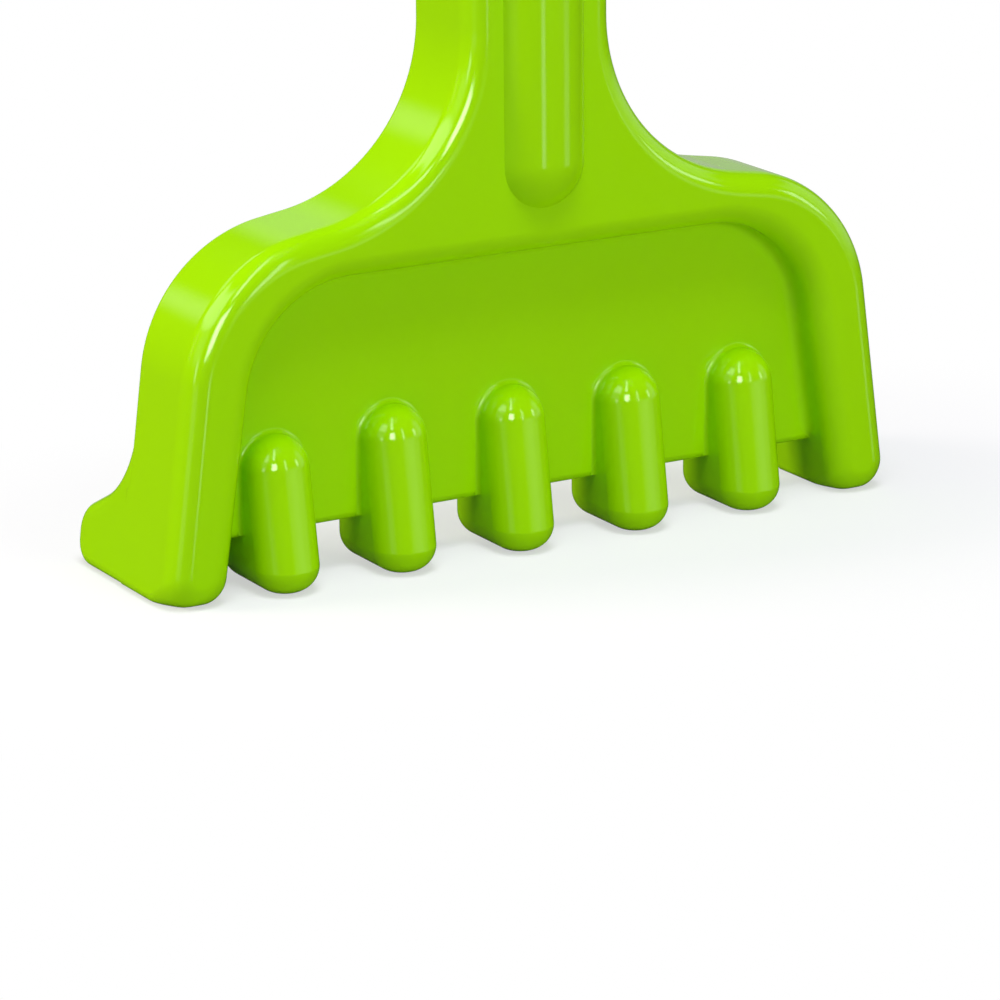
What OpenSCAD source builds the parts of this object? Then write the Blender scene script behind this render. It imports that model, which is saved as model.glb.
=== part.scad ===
// Beach sand rake: a wide head with two heeled legs, a thin recessed web and a comb
// of five tines, carried by a tall flat handle with a front rib and a hanging hole.
// The moulding is two half shells that meet on a flat plane at mid depth.
// Lengths are in millimetres, +Z is up and -Y is the front.

/* [Comb] */
// Distance between the centres of neighbouring tines
tine_pitch = 28; // [24:0.5:34]
// Number of tines between the legs
tine_count = 5; // [3:1:7]
// Sideways shift of the comb from the middle of the head
comb_shift = -4; // [-6:0.5:6]
// How much nearer the first tine stands to its neighbour than the others do
first_tine_in = 1; // [0:0.1:3]
// Half the width of a tine
tine_r = 7; // [5:0.1:8]
// Height of the top of a tine's dome
tine_top = 34.3; // [26:0.1:44]
// How much lower the first tine's dome ends
first_tine_drop = 2.4; // [0:0.1:5]
// Depth of a tine's front curve centre behind the frame's front face, at the floor
tine_axis_low = 3.2; // [2.5:0.1:8]
// The same depth at the height where the dome starts
tine_axis_high = 7.4; // [5:0.1:9]
// How far the back of a tine stays in front of the frame's back face
tine_back_gap = 0.5; // [0.2:0.1:2]
// Rounding of the foot of a tine
tine_foot_r = 5.4; // [2:0.1:6]
// Wall thickness of a tine
tine_wall = 2.2; // [1.6:0.1:3]

/* [Frame] */
// Outer tine centre to the inner face of a leg, at the floor
leg_gap = 17.1; // [14:0.1:22]
// Width of a leg at the floor
leg_w = 13.9; // [11:0.1:18]
// Depth of the frame from front face to back face
frame_d = 23.8; // [20:0.2:30]
// Inward lean of a leg's outer face, as a share of height
outer_lean_share = 0.132; // [0.05:0.001:0.2]
// Inward lean of a leg's inner face, as a share of height
inner_lean_share = 0.15; // [0.05:0.001:0.2]
// Height of the corner where a leg's outer face meets the shoulder line
shoulder_z = 69.2; // [64:0.2:80]
// Height of the corner where the shoulder line meets the side of the handle
neck_z = 78.7; // [72:0.1:96]
// Radius of the outer shoulder
shoulder_r = 32; // [16:0.5:34]
// Radius of the curve from the shoulder into the handle
neck_r = 37; // [16:0.5:44]
// Height of the top of the recess
recess_z = 63.1; // [50:0.1:64]
// Radius of the upper corners of the recess
recess_r = 24; // [8:0.5:30]
// Radius of the foot corners along the sides
foot_r = 2; // [1:0.1:4]
// Radius of the foot corners at the front face
foot_front_r = 6.6; // [2:0.1:6.6]
// Depth over which the front radius of the feet runs out
foot_blend = 11.5; // [6:0.5:11.5]
// Rounding of the frame's front edges
front_round = 4.5; // [2:0.1:5.5]
// Rounding of the frame's back edges
back_round = 2; // [1:0.1:3]

/* [Web] */
// Depth of each face of the web behind the frame's own face
web_depth = 8.9; // [6:0.1:10]
// Height of the lower edge of the web
web_bottom = 10.75; // [8:0.05:16]
// Rounding of the web's lower edge
web_round = 1.6; // [0.5:0.1:2.5]

/* [Heels] */
// Depth of the back of a heel behind the frame's front face
heel_reach = 44.8; // [36:0.1:52]
// Height of the heel's sloping top at its back end
heel_low = 11.2; // [9:0.1:14]
// Height at which the heel's sloping top meets the back of the leg
heel_high = 22; // [16:0.1:28]
// Rounding at the upper back of a heel
heel_crown_r = 6.8; // [4:0.1:8]
// Rounding at the lower back of a heel
heel_foot_r = 5.4; // [3:0.1:6]
// Radius of the hollow between heel and leg
heel_hollow_r = 21; // [8:0.5:24]
// Rounding along the sides of a heel
heel_round = 2.4; // [1:0.1:3.5]
// Set-in of a heel's sides from the faces of its leg
heel_set_in = 0.1; // [0.05:0.05:0.5]
// Wall thickness of a heel
heel_wall = 2.8; // [2:0.1:3.4]

/* [Handle] */
// Height of the whole rake
total_h = 370; // [250:5:450]
// Width of the handle
handle_w = 33.8; // [26:0.2:40]
// Corner radius of the handle's upper end
handle_end_r = 16; // [8:0.5:19]
// Radius of the hanging hole
hole_r = 5.5; // [3:0.5:8]
// Distance of the hanging hole's centre below the top of the handle
hole_drop = 19; // [16:0.5:30]
// Half the width of the front rib
rib_half = 9.4; // [5:0.1:11]
// How far the rib's crest stands out from the front face
rib_proud = 4.7; // [1.5:0.1:6]
// Height of the centre of the rib's rounded lower end
rib_low_z = 82; // [76:0.5:100]
// Distance from the hanging hole's centre down to the rib's upper end centre
rib_top_gap = 30; // [22:1:60]

/* [Shells] */
// Wall thickness of the frame and handle
wall = 2.5; // [2:0.1:3]
// How far the front shell's lip stands into the rear shell
lip_reach = 1.5; // [1:0.1:2.5]
// Depth of the lip below the outer surface
lip_inset = 1.4; // [1.2:0.05:1.6]
// Clearance between lip and rebate
lip_clear = 0.1; // [0.05:0.05:0.3]
// Radius of the locating posts
post_r = 1.8; // [1.2:0.1:2.4]
// How far the locating posts reach into the rear shell
post_reach = 5; // [3:0.5:6]
// Clearance around a post in its socket
post_clear = 0.1; // [0.05:0.05:0.3]
// Wall of the sockets that take the posts
socket_wall = 1.4; // [1:0.1:1.6]

/* [Hidden] */

// Pieces of arc in the large, middle and small corners
wide_steps = 9;
mid_steps = 6;
small_steps = 3;
edge_steps = 3;
blend_steps = 3;
dome_steps = 6;
bow_steps = 12;
$fn = 64;

// Least radius left where a rounding is used up, as a share of the wall
sharp_r = wall * 0.16;
// One length by which every cut runs past the surface it opens
overrun = wall * 0.4;
// How far a web or a post is sunk into the wall that carries it
sink = wall * 0.4;

// How far the heel's upper end sinks into the leg, and where its flat foot begins
dive_share = 0.2;
heel_meet_share = 0.7;

split_y = frame_d / 2;
tine_back = frame_d - tine_back_gap;
inner_foot = (tine_count - 1) / 2 * tine_pitch + leg_gap;
outer_foot = inner_foot + leg_w;
handle_half = handle_w / 2;
hole_z = total_h - hole_drop;
dome_z = tine_top - tine_r;
front_reach = max(rib_proud, tine_r - tine_axis_low);
seat_y = (heel_reach - front_reach) / 2;

rib_bow_r = (rib_half * rib_half + rib_proud * rib_proud) / (2 * rib_proud);
rib_high_z = hole_z - rib_top_gap;

socket_r = post_r + post_clear;
boss_r = socket_r + socket_wall;
tines = [0:tine_count - 1];
tine_x = [for (i = tines)
    (i - (tine_count - 1) / 2) * tine_pitch + comb_shift + (i > 0 ? 0 : first_tine_in)];

// Posts: one in each tine, one in each leg and shoulder, four up the handle
leg_post_z = heel_high + heel_hollow_r * 1.2;
leg_post_x = (leg_outer(leg_post_z) + leg_inner(leg_post_z)) / 2;
shoulder_post_x = leg_inner(recess_z) + wall;
shoulder_post_z = recess_z - wall;
tine_post_z = tine_top / 2;
handle_post_share = [0, 0.25, 0.5, 0.75];
handle_post_low = recess_z + boss_r + wall * 2;
handle_posts = [for (s = handle_post_share) handle_post_low + s * (hole_z - handle_post_low)];
head_posts = concat(
    [for (x = tine_x) [x, tine_post_z]],
    [[leg_post_x, leg_post_z], [-leg_post_x, leg_post_z]],
    [[shoulder_post_x, shoulder_post_z], [-shoulder_post_x, shoulder_post_z]]);

shell_colour = [0.55, 0.80, 0.03];

// Leg faces as functions of height
function leg_outer(z) = outer_foot - outer_lean_share * z;
function leg_inner(z) = inner_foot - inner_lean_share * z;

// Plane geometry for rounded outlines
function unit(p) = p / norm(p);
function left_of(u) = [-u[1], u[0]];
function turn_angle(u, v) = atan2(u[0] * v[1] - u[1] * v[0], u * v);
function spin(p, a) = [p[0] * cos(a) - p[1] * sin(a), p[0] * sin(a) + p[1] * cos(a)];

// One corner b between a and c, on an outline drawn inwards by inset; no steps leaves it sharp
function corner(a, b, c, r, steps, inset) =
    let (u = unit(b - a), v = unit(c - b), nu = left_of(u), nv = left_of(v))
    let (t = turn_angle(u, v), s = sign(t), m = (nu + nv) / (1 + nu * nv))
    let (rr = s > 0 ? max(r - inset, sharp_r) : r + inset)
    let (q = b + inset * m + s * rr * m)
    steps == 0 ? [b + inset * m] : [for (k = [0:steps]) q - s * rr * spin(nu, t * k / steps)];

// A closed outline; each entry of list is [point, radius, steps]
function outline(list, inset) =
    let (n = len(list))
    [for (i = [0:n - 1])
        each corner(list[(i + n - 1) % n][0], list[i][0], list[(i + 1) % n][0],
                    list[i][1], list[i][2], inset)];

// The same corners mirrored to the other side, in the order that keeps the loop running
function mirrored(list) =
    [for (i = [len(list) - 1:-1:0]) [[-list[i][0][0], list[i][0][1]], list[i][1], list[i][2]]];

// Outline of the frame and handle seen from the front, for a foot corner radius
full_foot_share = 0.48;
function foot_at(y) =
    let (t = min(y / foot_blend, 1), big = min(foot_front_r, leg_w * full_foot_share))
    big - (big - foot_r) * t * t * (3 - 2 * t);
function frame_outer(foot) = [
    [[outer_foot, 0], foot, small_steps],
    [[leg_outer(shoulder_z), shoulder_z], shoulder_r, wide_steps],
    [[handle_half, neck_z], neck_r, wide_steps],
    [[handle_half, total_h], handle_end_r, wide_steps]];
function frame_inner(foot) = [
    [[leg_inner(recess_z), recess_z], recess_r, mid_steps],
    [[inner_foot, 0], foot, small_steps]];
function frame_list(foot) = concat(frame_outer(foot), mirrored(frame_outer(foot)),
    mirrored(frame_inner(foot)), frame_inner(foot));

// Outline of the web, sunk into the frame at its sides and top
function web_list(low) = [
    [[leg_inner(low), low], sharp_r, 0],
    [[leg_inner(recess_z), recess_z], recess_r, mid_steps],
    [[-leg_inner(recess_z), recess_z], recess_r, mid_steps],
    [[-leg_inner(low), low], sharp_r, 0]];

// Side view of a heel as [depth, height]; its front end rises by low inside the leg
function heel_list(start, low, top) =
    let (dive = heel_round * dive_share * (top - heel_high) / heel_hollow_r)
    concat(
    [[[start, low], sharp_r, 0]],
    low > 0 ? [[[frame_d - back_round * heel_meet_share, 0], sharp_r, 0]] : [],
    [[[heel_reach, 0], heel_foot_r, mid_steps],
    [[heel_reach, heel_low], heel_crown_r, mid_steps],
    [[frame_d, heel_high], heel_hollow_r, mid_steps],
    [[frame_d - dive, top], sharp_r, 0],
    [[start, top], sharp_r, 0]]);

// A ring of the frame outline placed at depth y
function frame_ring(y, inset) = [for (p = outline(frame_list(foot_at(y)), inset)) [p[0], y, p[1]]];

// A quarter round as [distance from the face, inset] pairs, starting on the face
function quarter(r) = [for (k = [0:edge_steps])
    let (a = 90 * k / edge_steps) [r * (1 - sin(a)), r * (1 - cos(a))]];

// Triangles between two runs of point numbers, p on the right and q on the left
function strip(p, q, i = 0, j = 0) =
    let (last_p = len(p) - 1, last_q = len(q) - 1)
    let (step_p = j >= last_q || (i < last_p && (i + 1) / last_p <= (j + 1) / last_q))
    i >= last_p && j >= last_q ? []
    : step_p ? concat([[p[i], p[i + 1], q[j]]], strip(p, q, i + 1, j))
    : concat([[p[i], q[j + 1], q[j]]], strip(p, q, i, j + 1));

function turned(faces) = [for (f = faces) [for (i = [len(f) - 1:-1:0]) f[i]]];

// Triangles that fill a frame ring: two legs, then rows across the arch and the handle
foot_last = small_steps;
arch_first = small_steps + wide_steps + 1;
side_last = small_steps + 3 * wide_steps + 3;
outer_last = 2 * side_last + 1;
inner_half = mid_steps + small_steps + 2;
ring_last = outer_last + 2 * inner_half;
function across(i) = i <= outer_last ? outer_last - i : ring_last + outer_last + 1 - i;
leg_fill = concat(
    strip([for (i = [0:foot_last]) i], [for (i = [0:foot_last]) ring_last - i]),
    strip([for (i = [foot_last:arch_first]) i], [for (i = [foot_last:inner_half - 1]) ring_last - i]));
arch_inner = ring_last - inner_half + 1;
frame_fill = concat(
    leg_fill,
    turned([for (f = leg_fill) [for (i = f) across(i)]]),
    [[arch_inner, arch_first, across(arch_first)], [arch_inner, across(arch_first), across(arch_inner)]],
    [for (i = [arch_first:side_last - 1])
        each [[i, i + 1, across(i + 1)], [i, across(i + 1), across(i)]]]);

// Solid through equal rings, capped at both ends; fill gives the caps where a fan won't do
module loft(rings, flip = false, fill = []) {
    n = len(rings[0]);
    m = len(rings);
    cap = len(fill) > 0 ? fill : [[for (i = [0:n - 1]) i]];
    sides = [for (j = [0:m - 2], i = [0:n - 1])
        let (a = j * n + i, b = j * n + (i + 1) % n)
        each [[a, b, b + n], [a, b + n, a + n]]];
    all = concat(turned(cap), [for (f = cap) [for (i = f) (m - 1) * n + i]], sides);
    points = [for (r = rings) each r];
    polyhedron(points, flip ? turned(all) : all, convexity = 10);
}

// Front half of the frame and handle, hollow, with a lip standing past the split
module front_frame() {
    edge = quarter(front_round);
    blend = foot_blend - front_round;
    bend = quarter(max(front_round - wall, sharp_r));
    lip_y = split_y + lip_reach;
    loft(concat(
        [for (k = [edge_steps:-1:0]) frame_ring(edge[k][0], edge[k][1])],
        [for (k = [1:blend_steps]) frame_ring(front_round + blend * k / blend_steps, 0)],
        [frame_ring(split_y, 0), frame_ring(split_y, lip_inset)],
        [frame_ring(lip_y, lip_inset), frame_ring(lip_y, wall)],
        [for (q = bend) frame_ring(wall + q[0], wall + q[1])]), fill = frame_fill);
}

// Rear half of the frame and handle, hollow, with a rebate for the lip
module rear_frame() {
    edge = quarter(back_round);
    bend = quarter(max(back_round - wall, sharp_r));
    rebate_inset = lip_inset - lip_clear;
    rebate_y = split_y + lip_reach + lip_clear;
    loft(concat(
        [for (k = [edge_steps:-1:0]) frame_ring(frame_d - edge[k][0], edge[k][1])],
        [frame_ring(split_y, 0), frame_ring(split_y, rebate_inset)],
        [frame_ring(rebate_y, rebate_inset), frame_ring(rebate_y, wall)],
        [for (q = bend) frame_ring(frame_d - wall - q[0], wall + q[1])]), flip = true, fill = frame_fill);
}

// Half of the web: side is -1 for the front skin and 1 for the rear skin
module web_half(side) {
    edge = quarter(web_round);
    face_y = side < 0 ? web_depth : frame_d - web_depth;
    loft(concat(
        [for (k = [edge_steps:-1:0])
            [for (p = outline(web_list(web_bottom + sink + edge[k][1]), -sink))
                [p[0], face_y - side * edge[k][0], p[1]]]],
        [[for (p = outline(web_list(web_bottom + sink), -sink)) [p[0], split_y, p[1]]]]),
        flip = side > 0);
}

// Depth of a tine's curve centre at height z
function tine_axis(side, z) = side < 0
    ? tine_axis_low + (tine_axis_high - tine_axis_low) * min(z / dome_z, 1)
    : tine_back - tine_r;

// A level ring round half a tine: half width w at height z, run back to depth end_y
function tine_ring(side, x, w, z, end_y) = concat(
    [[x - side * w, end_y, z]],
    [for (k = [0:bow_steps])
        let (a = 180 * k / bow_steps)
        [x - side * w * cos(a), tine_axis(side, z) + side * w * sin(a), z]],
    [[x + side * w, end_y, z]]);

// Half a tine drawn inwards by inset, with a domed top and a rounded foot
module tine_half(side, i, inset, end_y) {
    x = tine_x[i];
    dome = dome_z - (i > 0 ? 0 : first_tine_drop);
    r = tine_r - inset;
    foot = quarter(max(tine_foot_r - inset, sharp_r));
    top_share = 0.97;
    loft(concat(
        [for (k = [edge_steps:-1:0]) tine_ring(side, x, r - foot[k][1], inset + foot[k][0], end_y)],
        [for (k = [0:dome_steps])
            let (a = 90 * top_share * k / dome_steps)
            tine_ring(side, x, r * cos(a), dome + r * sin(a), end_y)]));
}

// A level ring of the rib: bow radius r, height step dz past its end centre, edge at depth edge_y
function rib_ring(r, z, dz, edge_y) =
    let (axis_y = rib_bow_r - rib_proud)
    let (w = sqrt(max(r * r - dz * dz - (axis_y - edge_y) * (axis_y - edge_y), sharp_r * sharp_r)))
    concat(
        [[w, edge_y + sink, z]],
        [for (k = [0:bow_steps])
            let (x = w * cos(180 * k / bow_steps))
            [x, min(axis_y - sqrt(r * r - x * x - dz * dz), edge_y), z]],
        [[-w, edge_y + sink, z]]);

// The rounded rib up the front, drawn inwards by inset
module rib_body(inset, edge_y) {
    r = rib_bow_r - inset;
    axis_y = rib_bow_r - rib_proud;
    reach = sqrt(r * r - (axis_y - edge_y) * (axis_y - edge_y));
    end_share = 0.985;
    loft(concat(
        [for (k = [-dome_steps:0])
            let (dz = reach * sin(90 * end_share * k / dome_steps))
            rib_ring(r, rib_low_z + dz, dz, edge_y)],
        [for (k = [0:dome_steps])
            let (dz = reach * sin(90 * end_share * k / dome_steps))
            rib_ring(r, rib_high_z + dz, dz, edge_y)]));
}

// One heel on the +X side, drawn inwards by inset
module heel_body(start, low, top, inset, round_r) {
    edge = quarter(round_r);
    side = inset + heel_set_in;
    loft(concat(
        [for (k = [edge_steps:-1:0])
            [for (p = outline(heel_list(start, low, top), inset + edge[k][1]))
                [leg_outer(p[1]) - side - edge[k][0], p[0], p[1]]]],
        [for (k = [0:edge_steps])
            [for (p = outline(heel_list(start, low, top), inset + edge[k][1]))
                [leg_inner(p[1]) + side + edge[k][0], p[0], p[1]]]]));
}

module both_sides() {
    children();
    mirror([1, 0, 0]) children();
}

// A round bar along the depth from depth a to depth b
module bar(x, z, r, a, b) {
    translate([x, a, z]) rotate([-90, 0, 0]) cylinder(h = b - a, r = r);
}

module posts() {
    for (p = head_posts) bar(p[0], p[1], post_r, sink, split_y + post_reach);
    for (i = [0:len(handle_posts) - 1])
        bar(0, handle_posts[i], post_r, i > 0 ? wall / 2 - rib_proud : sink, split_y + post_reach);
}

module sockets(r, a, b) {
    for (p = head_posts) bar(p[0], p[1], r, a, b);
    for (z = handle_posts) bar(0, z, r, a, b);
}

// Front half of the moulding
module front_shell() {
    color(shell_colour) translate([0, -seat_y, 0]) difference() {
        union() {
            difference() {
                union() {
                    front_frame();
                    web_half(-1);
                    for (i = tines) tine_half(-1, i, 0, split_y);
                    rib_body(0, 0);
                }
                for (i = tines) tine_half(-1, i, tine_wall, split_y + overrun);
                rib_body(wall, wall + overrun);
            }
            posts();
            bar(0, hole_z, hole_r + wall, sink, split_y);
        }
        bar(0, hole_z, hole_r, -overrun, split_y + overrun);
    }
}

// Rear half of the moulding before its sockets, held to the full height of the rake
module rear_body() {
    heel_top = heel_high + heel_hollow_r * 0.8;
    resize([0, 0, total_h]) difference() {
        union() {
            rear_frame();
            web_half(1);
            for (i = tines) tine_half(1, i, 0, split_y);
            both_sides() heel_body(split_y + wall, wall / 2, heel_top, 0, heel_round);
        }
        for (i = tines) tine_half(1, i, tine_wall, split_y - overrun);
        both_sides()
            heel_body(split_y - overrun - heel_wall, 0, heel_top + heel_wall * 2, heel_wall, sharp_r);
    }
}

// Rear half of the moulding, with the two heels
module rear_shell() {
    color(shell_colour) translate([0, -seat_y, 0]) difference() {
        union() {
            rear_body();
            sockets(boss_r, split_y, frame_d - sink);
            bar(0, hole_z, hole_r + wall, split_y, frame_d - sink);
        }
        sockets(socket_r, split_y - overrun, split_y + post_reach + overrun);
        bar(0, hole_z, hole_r, split_y - overrun, frame_d + overrun);
    }
}

front_shell();
rear_shell();
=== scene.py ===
"""Render scene of a lime green beach sand rake.

The moulding is drawn from its outline, its tines, its web, its rib and its heels, and is
then split on the plane where the two shells meet. Lengths in the size records are in
millimetres in the drawing's frame: X across, Y away from the front face, Z up.
"""

import logging
import math
from dataclasses import dataclass, field
from enum import Enum
from typing import Iterable, Sequence

import bmesh
import bpy
from mathutils import Matrix, Vector


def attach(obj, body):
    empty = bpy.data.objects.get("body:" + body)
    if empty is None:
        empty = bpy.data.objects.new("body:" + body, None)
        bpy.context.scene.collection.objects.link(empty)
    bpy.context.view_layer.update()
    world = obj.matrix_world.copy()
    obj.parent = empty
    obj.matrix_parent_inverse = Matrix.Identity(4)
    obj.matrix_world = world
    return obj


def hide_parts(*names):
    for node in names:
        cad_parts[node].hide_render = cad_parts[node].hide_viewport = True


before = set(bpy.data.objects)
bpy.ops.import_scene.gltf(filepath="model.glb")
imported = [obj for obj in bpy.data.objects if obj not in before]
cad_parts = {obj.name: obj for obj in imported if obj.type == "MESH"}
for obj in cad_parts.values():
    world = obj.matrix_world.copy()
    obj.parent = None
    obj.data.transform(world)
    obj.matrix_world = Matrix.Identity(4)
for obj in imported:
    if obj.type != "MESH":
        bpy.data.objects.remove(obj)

LOG = logging.getLogger("sand_rake")
MM = 0.001
QUARTER = math.pi / 2
Point = tuple[float, float]
Colour = tuple[float, float, float]
Place = tuple[float, float, float]
WHITE = (1.0, 1.0, 1.0, 1.0)


def smooth(share: float) -> float:
    """Return a share, held between 0 and 1, that eases in and out."""
    t = min(max(share, 0.0), 1.0)
    return t * t * (3 - 2 * t)


# ---------------------------------------------------------------- sizes and finishes


@dataclass(frozen=True)
class FrameSize:
    """Sizes of the arch, the legs and the handle, in millimetres."""

    foot_out: float = 86.98
    foot_in: float = 73.1
    lean_out: float = 0.132
    lean_in: float = 0.15
    depth: float = 23.8
    shoulder_z: float = 69.2
    neck_z: float = 78.7
    shoulder_r: float = 32.0
    neck_r: float = 37.0
    recess_z: float = 63.1
    recess_r: float = 24.0
    foot_r: float = 2.0
    foot_front_r: float = 6.6
    foot_blend: float = 11.5
    front_round: float = 5.0
    back_round: float = 2.0
    top_z: float = 370.0
    handle_half: float = 16.88
    end_r: float = 16.0
    seat: float = 20.05
    heel_clear: tuple[float, float] = (20.0, 30.0)
    least_corner_r: float = 1.2
    long_stretch: tuple[float, float] = (20.0, 60.0)
    stretch_parts: int = 12
    blend_rings: tuple[float, ...] = (5.8, 6.7, 7.6, 8.6, 9.6, 10.5, 11.5, 12.6)
    foot_steps: int = 10
    shoulder_steps: int = 30
    neck_steps: int = 36
    end_steps: int = 24
    recess_steps: int = 22
    front_steps: int = 16
    back_steps: int = 9

    @property
    def split(self) -> float:
        """Depth of the plane where the two shells meet."""
        return self.depth / 2

    def foot_at(self, y: float) -> float:
        """Return the radius of the foot corners at depth y."""
        return self.foot_front_r - (self.foot_front_r - self.foot_r) * smooth(y / self.foot_blend)

    def out(self, z: float) -> float:
        """Return the outer face's distance from the middle at height z."""
        return self.foot_out - self.lean_out * z

    def inn(self, z: float) -> float:
        """Return the inner face's distance from the middle at height z."""
        return self.foot_in - self.lean_in * z


@dataclass(frozen=True)
class CombSize:
    """Sizes of the row of tines, in millimetres."""

    count: int = 5
    pitch: float = 28.0
    shift: float = -4.0
    first_in: float = 1.0
    first_drop: float = 2.4
    radius: float = 7.0
    foot: float = 5.4
    top: float = 34.3
    axis_low: float = 3.2
    axis_high: float = 7.4
    back: float = 23.3
    fillet: float = 0.9
    weld: float = 1e-4
    dome_steps: int = 40

    @property
    def dome_z(self) -> float:
        """Height of the centre of the dome."""
        return self.top - self.radius

    @property
    def centres(self) -> list[float]:
        """Sideways places of the tines."""
        return [(i - (self.count - 1) / 2) * self.pitch + self.shift + (0 if i else self.first_in)
                for i in range(self.count)]

    def dome_at(self, index: int) -> float:
        """Return the height of the centre of one tine's dome."""
        return self.dome_z - (0 if index else self.first_drop)


@dataclass(frozen=True)
class WebSize:
    """Sizes of the thin web behind the tines, in millimetres."""

    depth: float = 8.9
    bottom: float = 10.75
    round: float = 1.8
    fillet: float = 2.4
    fillet_end_share: float = 0.15
    fillet_low_share: float = 0.4
    sunk: float = 1.0
    round_steps: int = 10
    corner_steps: int = 22
    fillet_steps: int = 40

    @property
    def fillet_z(self) -> float:
        """Height at which the fillets on the web begin."""
        return self.bottom + self.round * self.fillet_low_share


@dataclass(frozen=True)
class HeelSize:
    """Sizes of a heel in side view, in millimetres."""

    reach: float = 44.8
    low: float = 11.2
    high: float = 22.0
    crown_r: float = 6.8
    foot_r: float = 5.4
    hollow_r: float = 21.0
    side_round: float = 2.6
    set_in: float = 0.03
    top: float = 38.8
    dive: float = 0.42
    start: float = 14.4
    foot_steps: int = 12
    crown_steps: int = 16
    hollow_steps: int = 18
    round_steps: int = 9


@dataclass(frozen=True)
class RibSize:
    """Sizes of the rib up the front of the handle, in millimetres."""

    half: float = 9.4
    proud: float = 4.7
    low_z: float = 82.0
    high_z: float = 321.0
    sunk: float = 1.5
    arc_steps: int = 36
    end_steps: int = 24
    end_share: float = 0.995

    @property
    def bow(self) -> float:
        """Radius of the rib's cross section."""
        return (self.half ** 2 + self.proud ** 2) / (2 * self.proud)


@dataclass(frozen=True)
class HoleSize:
    """Sizes of the hanging hole, in millimetres."""

    radius: float = 5.5
    z: float = 351.0
    flare: float = 1.0
    overrun: float = 1.0
    overrun_flare: float = 0.4
    flare_steps: int = 8
    segments: int = 72


@dataclass(frozen=True)
class Plastic:
    """Finish of a glossy moulded plastic; scales are per metre and distances in metres."""

    colour: Colour
    shade: Colour
    roughness: float
    scuff_depth: float = 0.07
    refraction: float = 1.5
    tone_scale: float = 28.0
    scuff_scale: float = 190.0
    grain_scale: float = 1500.0
    wave_strength: float = 0.05
    wave_distance: float = 0.0012
    grain_strength: float = 0.03
    grain_distance: float = 0.00004


class Finish(Enum):
    """Named finishes of the scene."""

    LIME = Plastic(colour=(0.335, 0.70, 0.0), shade=(0.315, 0.68, 0.0), roughness=0.13)


# ---------------------------------------------------------------- plane geometry


@dataclass(frozen=True)
class Corner:
    """One rounded corner of an outline."""

    x: float
    z: float
    radius: float
    steps: int

    def mirrored(self) -> "Corner":
        """Return the corner on the other side of the middle."""
        return Corner(-self.x, self.z, self.radius, self.steps)

    @classmethod
    def sharp(cls, x: float, z: float) -> "Corner":
        """Return a corner that is left sharp."""
        return cls(x, z, 0.0, 0)


def corner_points(a: Corner, b: Corner, c: Corner, inset: float, least: float) -> list[Point]:
    """Round corner b of a loop drawn inwards.

    Args:
        a: The corner before b.
        b: The corner to round.
        c: The corner after b.
        inset: How far inside the drawn loop the result lies.
        least: Least radius left on an outer corner.

    Returns:
        Points along the corner's arc.
    """
    u = Vector((b.x - a.x, b.z - a.z)).normalized()
    v = Vector((c.x - b.x, c.z - b.z)).normalized()
    nu, nv = Vector((-u.y, u.x)), Vector((-v.y, v.x))
    turn = math.atan2(u.x * v.y - u.y * v.x, u.dot(v))
    sign = 1.0 if turn > 0 else -1.0
    middle = (nu + nv) / (1 + nu.dot(nv))
    vertex = Vector((b.x, b.z)) + inset * middle
    if b.steps == 0:
        return [(vertex.x, vertex.y)]
    radius = max(b.radius - inset, least) if sign > 0 else b.radius + inset
    centre = vertex + sign * radius * middle
    points = []
    for k in range(b.steps + 1):
        p = centre - sign * radius * (Matrix.Rotation(turn * k / b.steps, 2) @ nu)
        points.append((p.x, p.y))
    return points


def outline(corners: Sequence[Corner], inset: float = 0.0, least: float = 0.35) -> list[Point]:
    """Return a closed loop with rounded corners.

    Args:
        corners: Corners in anticlockwise order.
        inset: How far inside the corners' own loop to draw.
        least: Least radius left on an outer corner.

    Returns:
        The loop's points.
    """
    n = len(corners)
    loop: list[Point] = []
    for i, corner in enumerate(corners):
        loop += corner_points(corners[i - 1], corner, corners[(i + 1) % n], inset, least)
    return loop


def quarter(radius: float, steps: int) -> list[Point]:
    """Return pairs of a quarter round: distance below the face and inset, side first."""
    angles = [QUARTER * k / steps for k in range(steps + 1)]
    return [(radius * (1 - math.sin(a)), radius * (1 - math.cos(a))) for a in angles]


# ---------------------------------------------------------------- mesh building


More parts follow.
